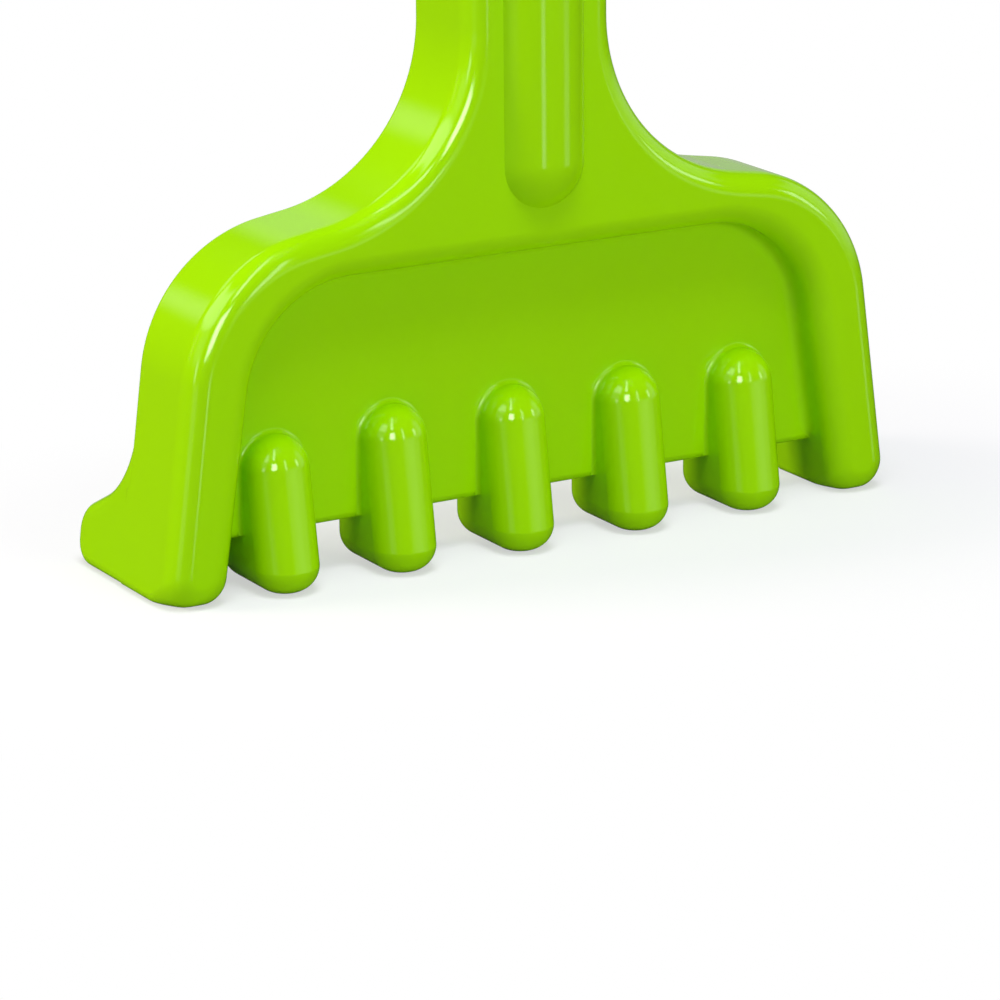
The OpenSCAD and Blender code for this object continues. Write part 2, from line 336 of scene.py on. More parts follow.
class Builder:
    """Collects closed solids in millimetres and turns them into mesh data in metres."""

    def __init__(self, seat: float) -> None:
        """Start empty.

        Args:
            seat: How far the drawing's front face lies behind the frame's origin.
        """
        self.seat = seat
        self.parts: list[bmesh.types.BMesh] = []

    def loft(self, rings: Sequence[Sequence[Vector]]) -> bmesh.types.BMesh:
        """Add a solid through equal rings, capped at both ends.

        Args:
            rings: Loops with the same number of points.

        Returns:
            The solid, in millimetres.
        """
        solid = bmesh.new()
        rows = [[solid.verts.new(p) for p in ring] for ring in rings]
        count = len(rows[0])
        for low, high in zip(rows, rows[1:]):
            for i in range(count):
                j = (i + 1) % count
                solid.faces.new((low[i], low[j], high[j], high[i]))
        solid.faces.new(reversed(rows[0]))
        solid.faces.new(rows[-1])
        return self.add(solid)

    def add(self, solid: bmesh.types.BMesh) -> bmesh.types.BMesh:
        """Keep a closed solid, with its faces turned outwards.

        Args:
            solid: The solid, in millimetres.

        Returns:
            The same solid.
        """
        bmesh.ops.recalc_face_normals(solid, faces=solid.faces)
        self.parts.append(solid)
        return solid

    def add_mesh(self, mesh: bpy.types.Mesh) -> bmesh.types.BMesh:
        """Keep a closed solid that is already mesh data.

        Args:
            mesh: Mesh data in millimetres.

        Returns:
            The solid.
        """
        solid = bmesh.new()
        solid.from_mesh(mesh)
        return self.add(solid)

    def half(self, name: str, split: float, front: bool) -> bpy.types.Mesh:
        """Cut every solid at the split plane and join what lies on one side.

        Args:
            name: Name of the new mesh.
            split: Depth of the plane.
            front: Keep the front side, or else the rear side.

        Returns:
            The mesh in metres, in the shared frame.
        """
        whole = bmesh.new()
        for part in self.parts:
            piece = part.copy()
            geom = list(piece.verts) + list(piece.edges) + list(piece.faces)
            bmesh.ops.bisect_plane(
                piece, geom=geom, dist=1e-5, plane_co=(0, split, 0), plane_no=(0, 1, 0),
                clear_outer=front, clear_inner=not front)
            rim = [e for e in piece.edges if e.is_boundary]
            if rim:
                bmesh.ops.holes_fill(piece, edges=rim, sides=0)
            if piece.faces:
                bmesh.ops.recalc_face_normals(piece, faces=piece.faces)
                scratch = bpy.data.meshes.new("scratch")
                piece.to_mesh(scratch)
                whole.from_mesh(scratch)
                bpy.data.meshes.remove(scratch)
            piece.free()
        bmesh.ops.transform(whole, matrix=Matrix.Scale(MM, 4), verts=whole.verts)
        bmesh.ops.translate(whole, vec=(0, -self.seat * MM, 0), verts=whole.verts)
        mesh = bpy.data.meshes.new(name)
        whole.to_mesh(mesh)
        whole.free()
        return mesh


def solid_object(solid: bmesh.types.BMesh, name: str) -> bpy.types.Object:
    """Turn a solid into an object of the scene.

    Args:
        solid: The solid, which is freed.
        name: Name of the object and its mesh.

    Returns:
        The object.
    """
    mesh = bpy.data.meshes.new(name)
    solid.to_mesh(mesh)
    solid.free()
    made = bpy.data.objects.new(name, mesh)
    bpy.context.scene.collection.objects.link(made)
    return made


# ---------------------------------------------------------------- node helpers


class NodeMaths:
    """Writes arithmetic into a node tree."""

    def __init__(self, tree: bpy.types.NodeTree) -> None:
        """Keep the tree that new nodes go into."""
        self.tree = tree

    def _feed(self, socket: bpy.types.NodeSocket, value: object) -> None:
        """Link a socket, or set a constant on it.

        Args:
            socket: The input to fill.
            value: An output socket or a constant.
        """
        if isinstance(value, bpy.types.NodeSocket):
            self.tree.links.new(value, socket)
        else:
            socket.default_value = value

    def node(self, kind: str, inputs: dict[str | int, object] | None = None,
             **settings: object) -> bpy.types.Node:
        """Add a node.

        Args:
            kind: The node's type name.
            inputs: Values or sockets by input name or number.
            settings: Properties of the node.

        Returns:
            The new node.
        """
        made = self.tree.nodes.new(kind)
        for key, value in settings.items():
            setattr(made, key, value)
        for key, value in (inputs or {}).items():
            self._feed(made.inputs[key], value)
        return made

    def maths(self, operation: str, *values: object) -> bpy.types.NodeSocket:
        """Add a scalar operation.

        Args:
            operation: Name of the operation.
            values: Its operands, each an output socket or a number.

        Returns:
            The result's socket.
        """
        made = self.tree.nodes.new("ShaderNodeMath")
        made.operation = operation
        for socket, value in zip(made.inputs, values):
            self._feed(socket, value)
        return made.outputs[0]


def named_inputs(tree: bpy.types.NodeTree, names: Iterable[tuple[str, str]]) -> None:
    """Give a geometry node group its geometry sockets and named inputs.

    Args:
        tree: The node group.
        names: Name and socket type of each input.
    """
    tree.interface.new_socket("Geometry", in_out="INPUT", socket_type="NodeSocketGeometry")
    for name, kind in names:
        tree.interface.new_socket(name, in_out="INPUT", socket_type=kind)
    tree.interface.new_socket("Geometry", in_out="OUTPUT", socket_type="NodeSocketGeometry")


def evaluate(tree: bpy.types.NodeTree, values: dict[str, object], name: str) -> bpy.types.Mesh:
    """Run a geometry node group once and return its result as plain mesh data.

    Args:
        tree: The node group.
        values: Input values by input name.
        name: Name of the new mesh.

    Returns:
        The evaluated mesh.
    """
    holder = bpy.data.objects.new(name + "_holder", bpy.data.meshes.new(name + "_empty"))
    bpy.context.scene.collection.objects.link(holder)
    modifier = holder.modifiers.new("Shape", "NODES")
    modifier.node_group = tree
    for item in tree.interface.items_tree:
        if item.item_type == "SOCKET" and item.in_out == "INPUT" and item.name in values:
            modifier[item.identifier] = values[item.name]
    holder.update_tag()
    graph = bpy.context.evaluated_depsgraph_get()
    mesh = bpy.data.meshes.new_from_object(holder.evaluated_get(graph), depsgraph=graph)
    holder.modifiers.remove(modifier)
    bpy.data.objects.remove(holder)
    mesh.name = name
    return mesh


# ---------------------------------------------------------------- sub-assemblies


class Rim:
    """The arch with its two legs and the handle above it."""

    def __init__(self, size: FrameSize, hole: HoleSize) -> None:
        """Keep the sizes."""
        self.size = size
        self.hole = hole

    def corners(self, foot: float) -> list[Corner]:
        """Return the outline's corners, anticlockwise seen from the front.

        Args:
            foot: Radius of the foot corners.

        Returns:
            The corners.
        """
        s = self.size
        outer = [
            Corner(s.foot_out, 0, foot, s.foot_steps),
            Corner(s.out(s.shoulder_z), s.shoulder_z, s.shoulder_r, s.shoulder_steps),
            Corner(s.handle_half, s.neck_z, s.neck_r, s.neck_steps),
            Corner(s.handle_half, s.top_z, s.end_r, s.end_steps)]
        inner = [
            Corner(s.inn(s.recess_z), s.recess_z, s.recess_r, s.recess_steps),
            Corner(s.foot_in, 0, foot, s.foot_steps)]
        return (outer + [c.mirrored() for c in reversed(outer)]
                + [c.mirrored() for c in reversed(inner)] + inner)

    def ring(self, y: float, inset: float) -> list[Vector]:
        """Return the outline at depth y.

        Behind the middle the inset dies out towards the heels, which cover that edge.

        Args:
            y: Depth of the ring.
            inset: How far inside the outline it is drawn.

        Returns:
            The ring's points, with long straight stretches divided.
        """
        s = self.size
        corners = self.corners(s.foot_at(y))
        plain = self.divided(outline(corners))
        drawn = self.divided(outline(corners, inset, s.least_corner_r))
        if y < s.depth / 2:
            return [Vector((x, y, z)) for x, z in drawn]
        low, high = s.heel_clear
        ring = []
        for (x0, z0), (x1, z1) in zip(plain, drawn):
            t = smooth((z0 - low) / (high - low))
            ring.append(Vector((x0 + (x1 - x0) * t, y, z0 + (z1 - z0) * t)))
        return ring

    def divided(self, loop: list[Point]) -> list[Point]:
        """Divide the long straight stretches of the legs' outline.

        Args:
            loop: The outline's points.

        Returns:
            The points with more of them along the legs.
        """
        s = self.size
        shortest, longest = s.long_stretch
        parts = s.stretch_parts
        made: list[Point] = []
        for i, (x0, z0) in enumerate(loop):
            x1, z1 = loop[(i + 1) % len(loop)]
            made.append((x0, z0))
            if shortest < abs(z1 - z0) < longest and abs(x0) > s.handle_half * 2:
                made += [(x0 + (x1 - x0) * k / parts, z0 + (z1 - z0) * k / parts)
                         for k in range(1, parts)]
        return made

    def cutter(self) -> bpy.types.Object:
        """Draw the flared bar that opens the hanging hole.

        Returns:
            The bar, as an object of the scene.
        """
        s, h = self.size, self.hole
        front = [(-h.overrun, h.radius + h.flare + h.overrun_flare)]
        front += [(h.flare - h.flare * math.cos(a), h.radius + h.flare - h.flare * math.sin(a))
                  for a in (QUARTER * k / h.flare_steps for k in range(h.flare_steps + 1))]
        back = [(s.depth - y, r) for y, r in reversed(front)]
        turns = [math.tau * k / h.segments for k in range(h.segments)]
        rings = [[Vector((r * math.cos(t), y, h.z + r * math.sin(t))) for t in turns]
                 for y, r in front + back]
        return solid_object(Builder(0).loft(rings), "hole_cutter")

    def build(self, builder: Builder) -> None:
        """Add the rim, with its hanging hole.

        Args:
            builder: Where the solid goes.
        """
        s = self.size
        front = [self.ring(d, i) for d, i in reversed(quarter(s.front_round, s.front_steps))]
        front += [self.ring(y, 0.0) for y in s.blend_rings]
        back = [self.ring(s.depth - d, i) for d, i in quarter(s.back_round, s.back_steps)]
        body = solid_object(Builder(0).loft(front + back), "rim")
        cutter = self.cutter()
        cut = body.modifiers.new("Hole", "BOOLEAN")
        cut.operation = "DIFFERENCE"
        cut.solver = "EXACT"
        cut.object = cutter
        graph = bpy.context.evaluated_depsgraph_get()
        builder.add_mesh(bpy.data.meshes.new_from_object(body.evaluated_get(graph)))
        for each in (body, cutter):
            bpy.data.objects.remove(each)


def fillet_strip(builder: Builder, path: Sequence[Point], normals: Sequence[Point],
                 plane_y: float, toward: float, radius: float, end_share: float = 1.0) -> None:
    """Add the hollow fillet that joins a wall to a plane along a path.

    Args:
        builder: Where the solid goes.
        path: Points of the wall's foot on the plane.
        normals: Directions away from the wall at those points.
        plane_y: Depth of the plane.
        toward: -1 where the wall rises to the front, 1 to the rear.
        radius: Radius of the fillet.
        end_share: Share of the radius that is left at the two ends of the path.
    """
    sink, steps = 0.25, 8
    angles = [QUARTER * k / steps for k in range(steps + 1)]
    rings = []
    for i, ((x, z), (nx, nz)) in enumerate(zip(path, normals)):
        r = radius * (end_share if i in (0, len(path) - 1) else 1.0)
        arc = [(r * (1 - math.sin(a)), r * (1 - math.cos(a))) for a in angles]
        section = arc + [(-sink, r), (-sink, -sink), (r, -sink)]
        rings.append([Vector((x + nx * o, plane_y + toward * h, z + nz * o)) for o, h in section])
    builder.loft(rings)


class Web:
    """The thin plate that closes the arch behind the tines."""

    def __init__(self, size: WebSize, rim: FrameSize) -> None:
        """Keep the sizes."""
        self.size = size
        self.rim = rim

    def corners(self, low: float) -> list[Corner]:
        """Return the plate's outline, sunk into the rim at its sides and top.

        Args:
            low: Height of the lower edge.

        Returns:
            The corners.
        """
        r, grow = self.rim, self.size.sunk
        right = [Corner.sharp(r.inn(low) + grow, low),
                 Corner(r.inn(r.recess_z) + grow, r.recess_z + grow, r.recess_r + grow,
                        self.size.corner_steps)]
        return right + [c.mirrored() for c in reversed(right)]

    def build(self, builder: Builder) -> None:
        """Add the plate and its fillets.

        Args:
            builder: Where the solids go.
        """
        s, r = self.size, self.rim
        edge = quarter(s.round, s.round_steps)
        levels = [(s.depth + d, i) for d, i in reversed(edge)]
        levels += [(r.depth - s.depth - d, i) for d, i in edge]
        builder.loft([[Vector((x, y, z)) for x, z in outline(self.corners(s.bottom + i))]
                      for y, i in levels])
        low = s.fillet_z
        start = Corner.sharp(r.inn(low), low)
        top = Corner(r.inn(r.recess_z), r.recess_z, r.recess_r, s.fillet_steps)
        loop = [start, top, top.mirrored(), start.mirrored()]
        path = outline(loop)
        knee = (r.inn(low + s.fillet), low + s.fillet)
        path = [path[0], knee, *path[1:-1], (-knee[0], knee[1]), path[-1]]
        normals = []
        for i in range(len(path)):
            before, after = path[max(i - 1, 0)], path[min(i + 1, len(path) - 1)]
            t = Vector((after[0] - before[0], after[1] - before[1])).normalized()
            normals.append((-t.y, t.x))
        fillet_strip(builder, path, normals, s.depth, -1.0, s.fillet, s.fillet_end_share)
        fillet_strip(builder, path, normals, r.depth - s.depth, 1.0, s.fillet, s.fillet_end_share)


class Comb:
    """The row of tines: one rule for a tine, repeated by geometry nodes."""

    def __init__(self, size: CombSize, web: WebSize, rim: FrameSize) -> None:
        """Keep the sizes.

        Args:
            size: Sizes of the tines.
            web: Sizes of the web that they stand on.
            rim: Sizes of the arch round them.
        """
        self.size = size
        self.web = web
        self.rim = rim

    def group(self, material: bpy.types.Material) -> bpy.types.NodeTree:
        """Return the node group that draws every tine from a ball pulled to four corners.

        Args:
            material: Material of the result.

        Returns:
            The geometry node group.
        """
        tree = bpy.data.node_groups.new("Tine Comb", "GeometryNodeTree")
        names = [("Count", "NodeSocketInt"), ("Pitch", "NodeSocketFloat"), ("Shift", "NodeSocketFloat"),
                 ("Radius", "NodeSocketFloat"), ("Foot Radius", "NodeSocketFloat"),
                 ("Dome Height", "NodeSocketFloat"), ("Front Low", "NodeSocketFloat"),
                 ("Front High", "NodeSocketFloat"), ("Back", "NodeSocketFloat"),
                 ("First In", "NodeSocketFloat"), ("First Drop", "NodeSocketFloat")]
        named_inputs(tree, names)
        calc = NodeMaths(tree)
        size = tree.nodes.new("NodeGroupInput").outputs
        segments, rings = 80, 60
        least_level, pole, seam = 1e-4, 2e-3, 1e-3
        ball = calc.node("GeometryNodeMeshUVSphere",
                         {"Segments": segments, "Rings": rings, "Radius": 1.0})
        direction = calc.node("GeometryNodeInputPosition").outputs[0]
        parts = calc.node("ShaderNodeSeparateXYZ", {0: direction}).outputs
        nx, ny, nz = parts[0], parts[1], parts[2]
        level = calc.maths("SQRT", calc.maths("ADD", calc.maths("MULTIPLY", nx, nx),
                                              calc.maths("MULTIPLY", ny, ny)))
        safe = calc.maths("MAXIMUM", level, least_level)
        upper = calc.maths("GREATER_THAN", nz, 0.0)
        rear = calc.maths("GREATER_THAN", ny, seam)
        lean = calc.maths("SUBTRACT", size["Front High"], size["Front Low"])
        foot_share = calc.maths("DIVIDE", size["Foot Radius"], size["Dome Height"])
        foot_axis = calc.maths("ADD", size["Front Low"], calc.maths("MULTIPLY", lean, foot_share))
        low_gap = calc.maths("SUBTRACT", size["Radius"], size["Foot Radius"])
        low_reach = calc.maths("ADD", calc.maths("MULTIPLY", size["Foot Radius"], level), low_gap)
        high_reach = calc.maths("MULTIPLY", size["Radius"], level)
        reach = calc.maths("ADD", calc.maths("MULTIPLY", upper, high_reach),
                           calc.maths("MULTIPLY", calc.maths("SUBTRACT", 1.0, upper), low_reach))
        solid_level = calc.maths("GREATER_THAN", level, pole)
        reach = calc.maths("MULTIPLY", reach, solid_level)
        front_y = calc.maths("ADD", foot_axis,
                             calc.maths("MULTIPLY", upper,
                                        calc.maths("SUBTRACT", size["Front High"], foot_axis)))
        rear_y = calc.maths("SUBTRACT", size["Back"], size["Radius"])
        axis_y = calc.maths("ADD", front_y, calc.maths("MULTIPLY", rear,
                                                       calc.maths("SUBTRACT", rear_y, front_y)))
        x = calc.maths("MULTIPLY", reach, calc.maths("DIVIDE", nx, safe))
        y = calc.maths("ADD", axis_y, calc.maths("MULTIPLY", reach, calc.maths("DIVIDE", ny, safe)))
        high_z = calc.maths("ADD", size["Dome Height"], calc.maths("MULTIPLY", size["Radius"], nz))
        low_z = calc.maths("MULTIPLY", size["Foot Radius"], calc.maths("ADD", nz, 1.0))
        z = calc.maths("ADD", calc.maths("MULTIPLY", upper, high_z),
                       calc.maths("MULTIPLY", calc.maths("SUBTRACT", 1.0, upper), low_z))
        place = calc.node("ShaderNodeCombineXYZ", {0: x, 1: y, 2: z}).outputs[0]
        turn = calc.node("GeometryNodeTransform", {"Geometry": ball.outputs[0],
                                                   "Rotation": (0.0, 0.0, math.pi / segments)})
        tine = calc.node("GeometryNodeSetPosition", {"Geometry": turn.outputs[0], "Position": place})
        span = calc.maths("MULTIPLY", calc.maths("SUBTRACT", size["Count"], 1.0), size["Pitch"])
        start = calc.maths("SUBTRACT", size["Shift"], calc.maths("DIVIDE", span, 2.0))
        row = calc.node("GeometryNodeMeshLine", {
            "Count": size["Count"],
            "Start Location": calc.node("ShaderNodeCombineXYZ", {0: start}).outputs[0],
            "Offset": calc.node("ShaderNodeCombineXYZ", {0: size["Pitch"]}).outputs[0]})
        points = calc.node("GeometryNodeInstanceOnPoints",
                           {"Points": row.outputs[0], "Instance": tine.outputs[0]})
        real = calc.node("GeometryNodeRealizeInstances", {"Geometry": points.outputs[0]})
        spot = calc.node("ShaderNodeSeparateXYZ",
                         {0: calc.node("GeometryNodeInputPosition").outputs[0]}).outputs
        past_first = calc.maths("ADD", start, calc.maths("DIVIDE", size["Pitch"], 2.0))
        first = calc.maths("LESS_THAN", spot[0], past_first)
        high = calc.maths("GREATER_THAN", spot[2], calc.maths("DIVIDE", size["Dome Height"], 2.0))
        drop = calc.maths("MULTIPLY", calc.maths("MULTIPLY", first, high), size["First Drop"])
        aside = calc.maths("MULTIPLY", first, size["First In"])
        offset = calc.node("ShaderNodeCombineXYZ", {0: aside, 2: calc.maths("MULTIPLY", drop, -1.0)})
        moved = calc.node("GeometryNodeSetPosition",
                          {"Geometry": real.outputs[0], "Offset": offset.outputs[0]})
        finish = calc.node("GeometryNodeSetMaterial",
                           {"Geometry": moved.outputs[0], "Material": material})
        out = tree.nodes.new("NodeGroupOutput")
        tree.links.new(finish.outputs[0], out.inputs[0])
        return tree

    def build(self, builder: Builder, material: bpy.types.Material) -> None:
        """Add the tines and their fillets.

        Args:
            builder: Where the solids go.
            material: Material that the node group sets.
        """
        s, w = self.size, self.web
        mesh = evaluate(self.group(material), {
            "Count": s.count, "Pitch": s.pitch, "Shift": s.shift, "Radius": s.radius,
            "Foot Radius": s.foot, "Dome Height": s.dome_z, "Front Low": s.axis_low,
            "Front High": s.axis_high, "Back": s.back, "First In": s.first_in,
            "First Drop": s.first_drop}, "comb")
        whole = bmesh.new()
        whole.from_mesh(mesh)
        bmesh.ops.remove_doubles(whole, verts=whole.verts, dist=s.weld)
        builder.add(whole)
        low = w.fillet_z
        arc = [math.pi * k / s.dome_steps for k in range(s.dome_steps + 1)]
        for i, x in enumerate(s.centres):
            dome = s.dome_at(i)
            path = [(x + s.radius, low)]
            path += [(x + s.radius * math.cos(a), dome + s.radius * math.sin(a)) for a in arc]
            path += [(x - s.radius, low)]
            normals = [(1.0, 0.0)] + [(math.cos(a), math.sin(a)) for a in arc] + [(-1.0, 0.0)]
            fillet_strip(builder, path, normals, w.depth, -1.0, s.fillet)
            fillet_strip(builder, path, normals, self.rim.depth - w.depth, 1.0, s.fillet)


class Rib:
    """The rounded rib on the front of the handle."""

    def __init__(self, size: RibSize) -> None:
        """Keep the sizes."""
        self.size = size

    def ring(self, z: float, step: float) -> list[Vector]:
        """Return one level ring.

        Args:
            z: Height of the ring.
            step: How far the ring lies past the centre of the rounded end.

        Returns:
            The ring's points.
        """
        s = self.size
        axis = s.bow - s.proud
        half = math.sqrt(max(s.half ** 2 - step ** 2, 1e-6))
        points = [Vector((half, s.sunk, z))]
        for k in range(s.arc_steps + 1):
            x = half * math.cos(math.pi * k / s.arc_steps)
            points.append(Vector((x, axis - math.sqrt(s.bow ** 2 - x * x - step * step), z)))
        return points + [Vector((-half, s.sunk, z))]

    def build(self, builder: Builder) -> None:
        """Add the rib.

        Args:
            builder: Where the solid goes.
        """
        s = self.size
        high = [s.half * math.sin(QUARTER * s.end_share * k / s.end_steps)
                for k in range(s.end_steps + 1)]
        low = [-d for d in reversed(high)]
        rings = [self.ring(s.low_z + d, d) for d in low] + [self.ring(s.high_z + d, d) for d in high]
        builder.loft(rings)


class Heels:
    """The two feet that reach back from the legs."""

    def __init__(self, size: HeelSize, rim: FrameSize) -> None:
        """Keep the sizes."""
        self.size = size
        self.rim = rim

    def corners(self) -> list[Corner]:
        """Return the corners of the side view.

        Returns:
            The corners, with depth in place of x.
        """
        s, depth = self.size, self.rim.depth
        return [Corner.sharp(s.start, 0.0),
                Corner(s.reach, 0.0, s.foot_r, s.foot_steps),
                Corner(s.reach, s.low, s.crown_r, s.crown_steps),
                Corner(depth, s.high, s.hollow_r, s.hollow_steps),
                Corner.sharp(depth - s.dive, s.top),
                Corner.sharp(s.start, s.top)]

    def build(self, builder: Builder) -> None:
        """Add both heels.

        Args:
            builder: Where the solids go.
        """
        s, r = self.size, self.rim
        edge = quarter(s.side_round, s.round_steps)
        for side in (1.0, -1.0):
            rings = []
            for d, i in reversed(edge):
                rings.append([Vector((side * (r.out(z) - s.set_in - d), y, z))
                              for y, z in outline(self.corners(), i)])
            for d, i in edge:
                rings.append([Vector((side * (r.inn(z) + s.set_in + d), y, z))
                              for y, z in outline(self.corners(), i)])
            builder.loft(rings)


# ---------------------------------------------------------------- materials


class PlasticMaterial:
    """Builds the procedural material of glossy moulded plastic."""

    def __init__(self, name: str, plastic: Plastic) -> None:
        """Keep the name and the finish."""
        self.name = name
        self.plastic = plastic

    def build(self) -> bpy.types.Material:
        """Build the node tree of the finish.

        Returns:
            The material, which reads Object coordinates only.
        """
        p = self.plastic
        material = bpy.data.materials.new(self.name)
        material.use_nodes = True
        tree = material.node_tree
        tree.nodes.clear()
        calc = NodeMaths(tree)
        place = calc.node("ShaderNodeTexCoord").outputs["Object"]
        broad = calc.node("ShaderNodeTexNoise", {"Vector": place, "Scale": p.tone_scale, "Detail": 2.0,
                                                 "Roughness": 0.45})
        fine = calc.node("ShaderNodeTexNoise", {"Vector": place, "Scale": p.grain_scale, "Detail": 3.0,
                                                "Roughness": 0.6})
        scuff = calc.node("ShaderNodeTexNoise", {"Vector": place, "Scale": p.scuff_scale, "Detail": 6.0,
                                                 "Roughness": 0.65, "Distortion": 0.6})
        tone = calc.node("ShaderNodeMix", {0: broad.outputs[0]}, data_type="RGBA")
        tone.inputs[6].default_value = (*p.colour, 1.0)
        tone.inputs[7].default_value = (*p.shade, 1.0)
        rough = calc.maths("ADD", p.roughness - p.scuff_depth / 2,
                           calc.maths("MULTIPLY", scuff.outputs[0], p.scuff_depth))
        wave = calc.node("ShaderNodeBump", {"Strength": p.wave_strength, "Distance": p.wave_distance,
                                            "Height": broad.outputs[0]})
        grain = calc.node("ShaderNodeBump", {"Strength": p.grain_strength, "Distance": p.grain_distance,
                                             "Height": fine.outputs[0], "Normal": wave.outputs[0]})
        shader = calc.node("ShaderNodeBsdfPrincipled", {
            "Base Color": tone.outputs[2], "Roughness": rough, "Normal": grain.outputs[0],
            "IOR": p.refraction, "Specular IOR Level": 0.5})
        out = tree.nodes.new("ShaderNodeOutputMaterial")
        tree.links.new(shader.outputs[0], out.inputs[0])
        return material


# ---------------------------------------------------------------- the rake


class Rake:
    """The whole moulding as two shell pieces."""

    sharp_angle = math.radians(32)
    face_weight = 90

    def __init__(self) -> None:
        """Set up the sub-assemblies."""
        self.rim_size = FrameSize()
        self.web_size = WebSize()
        self.rim = Rim(self.rim_size, HoleSize())
        self.web = Web(self.web_size, self.rim_size)
        self.comb = Comb(CombSize(), self.web_size, self.rim_size)
        self.rib = Rib(RibSize())
        self.heels = Heels(HeelSize(), self.rim_size)

    def shell(self, name: str, mesh: bpy.types.Mesh, node: str,
              material: bpy.types.Material) -> bpy.types.Object:
        """Turn mesh data into a finished piece.

        Args:
            name: Name of the piece.
            mesh: Its mesh data in metres.
            node: The frame node that it stands for.
            material: Its material.

        Returns:
            The piece.
        """
        mesh.materials.clear()
        mesh.materials.append(material)
        mesh.shade_smooth()
        mesh.set_sharp_from_angle(angle=self.sharp_angle)
        piece = bpy.data.objects.new(name, mesh)
        bpy.context.scene.collection.objects.link(piece)
        weigh = piece.modifiers.new("Weigh", "WEIGHTED_NORMAL")
        weigh.mode = "FACE_AREA"
        weigh.weight = self.face_weight
        weigh.keep_sharp = True
        graph = bpy.context.evaluated_depsgraph_get()
        done = bpy.data.meshes.new_from_object(piece.evaluated_get(graph), depsgraph=graph)
        piece.modifiers.clear()
        piece.data = done
        done.name = name
        bpy.data.meshes.remove(mesh)
        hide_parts(node)
        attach(piece, "root")
        LOG.info("%s: %d faces", name, len(done.polygons))
        return piece

    def build(self) -> list[bpy.types.Object]:
        """Build both shells.

        Returns:
            The front and the rear piece.
        """
        front_paint = PlasticMaterial("lime_plastic_front", Finish.LIME.value).build()
        rear_paint = PlasticMaterial("lime_plastic_rear", Finish.LIME.value).build()
        builder = Builder(self.rim_size.seat)
        self.rim.build(builder)
        self.web.build(builder)
        self.comb.build(builder, front_paint)
        self.rib.build(builder)
        self.heels.build(builder)
        split = self.rim_size.split
        front = builder.half("front_moulding", split, True)
        rear = builder.half("rear_moulding", split, False)
        return [
            self.shell("front_moulding", front, "front_shell", front_paint),
            self.shell("rear_moulding", rear, "rear_shell", rear_paint)]


# ---------------------------------------------------------------- studio


@dataclass(frozen=True)
class CameraSize:
    """Where the camera stands, in degrees and millimetres, and how far it sees in metres."""

    azimuth: float = -30.12
    elevation: float = 16.51
    roll: float = -0.51
    lens: float = 165.6
    sensor: float = 36.0
    target: Place = (-11.152, -20.05, 12.493)
    distance: float = 944.36
    far: float = 20.0


@dataclass(frozen=True)
class Softbox:
    """One rectangular studio light, in metres and watts."""

    name: str
    place: Place
    size: tuple[float, float]
    power: float
    aim: Place = (0.0, 0.0, 0.04)
    colour: Colour = (1.0, 1.0, 1.0)


@dataclass(frozen=True)
class Card:
    """One bright card that the gloss mirrors, seen from the rake, in degrees.

    The azimuth is 0 to the left, 90 to the front and 180 to the right.
    """

    name: str
    azimuth: float
    elevation: float
    width: float
    height: float
    strength: float
    soft: float = 1.5


CARDS = (
    Card("window", 60.0, 17.0, 17.0, 21.0, 14.0),
    Card("tall_strip", 58.0, 60.0, 9.0, 42.0, 8.0),
    Card("left_oval", 24.0, 5.0, 9.0, 10.0, 4.0, 4.0),
    Card("left_low", 34.0, -6.5, 20.0, 5.0, 0.7, 5.0),
    Card("left_panel", 14.0, 18.0, 34.0, 16.0, 0.7, 6.0),
    Card("upper_panel", -2.0, 42.0, 76.0, 24.0, 3.0, 5.0),
    Card("rear_strip", -72.0, 40.0, 40.0, 10.0, 1.4, 4.0),
    Card("rear_wall", -122.0, 14.0, 36.0, 50.0, 0.45, 10.0),
    Card("rear_streak", -66.0, 20.0, 8.0, 8.0, 0.9, 5.0),
    Card("front_line", 100.0, 20.0, 4.5, 32.0, 6.0),
    Card("rib_line", 94.0, -12.0, 7.0, 4.0, 3.0),
    Card("right_line", 134.0, -6.5, 4.0, 4.0, 1.5, 3.0),
    Card("right_high", 145.0, 14.0, 9.0, 18.0, 5.0, 2.0),
    Card("right_band", 128.0, -1.5, 60.0, 7.0, 0.5, 12.0),
    Card("right_core", 122.0, -1.0, 26.0, 6.0, 0.4, 12.0),
    Card("rib_band", 147.0, -12.5, 13.0, 4.0, 1.1, 4.0),
    Card("right_wall", 178.0, 16.0, 46.0, 36.0, 0.7, 8.0))


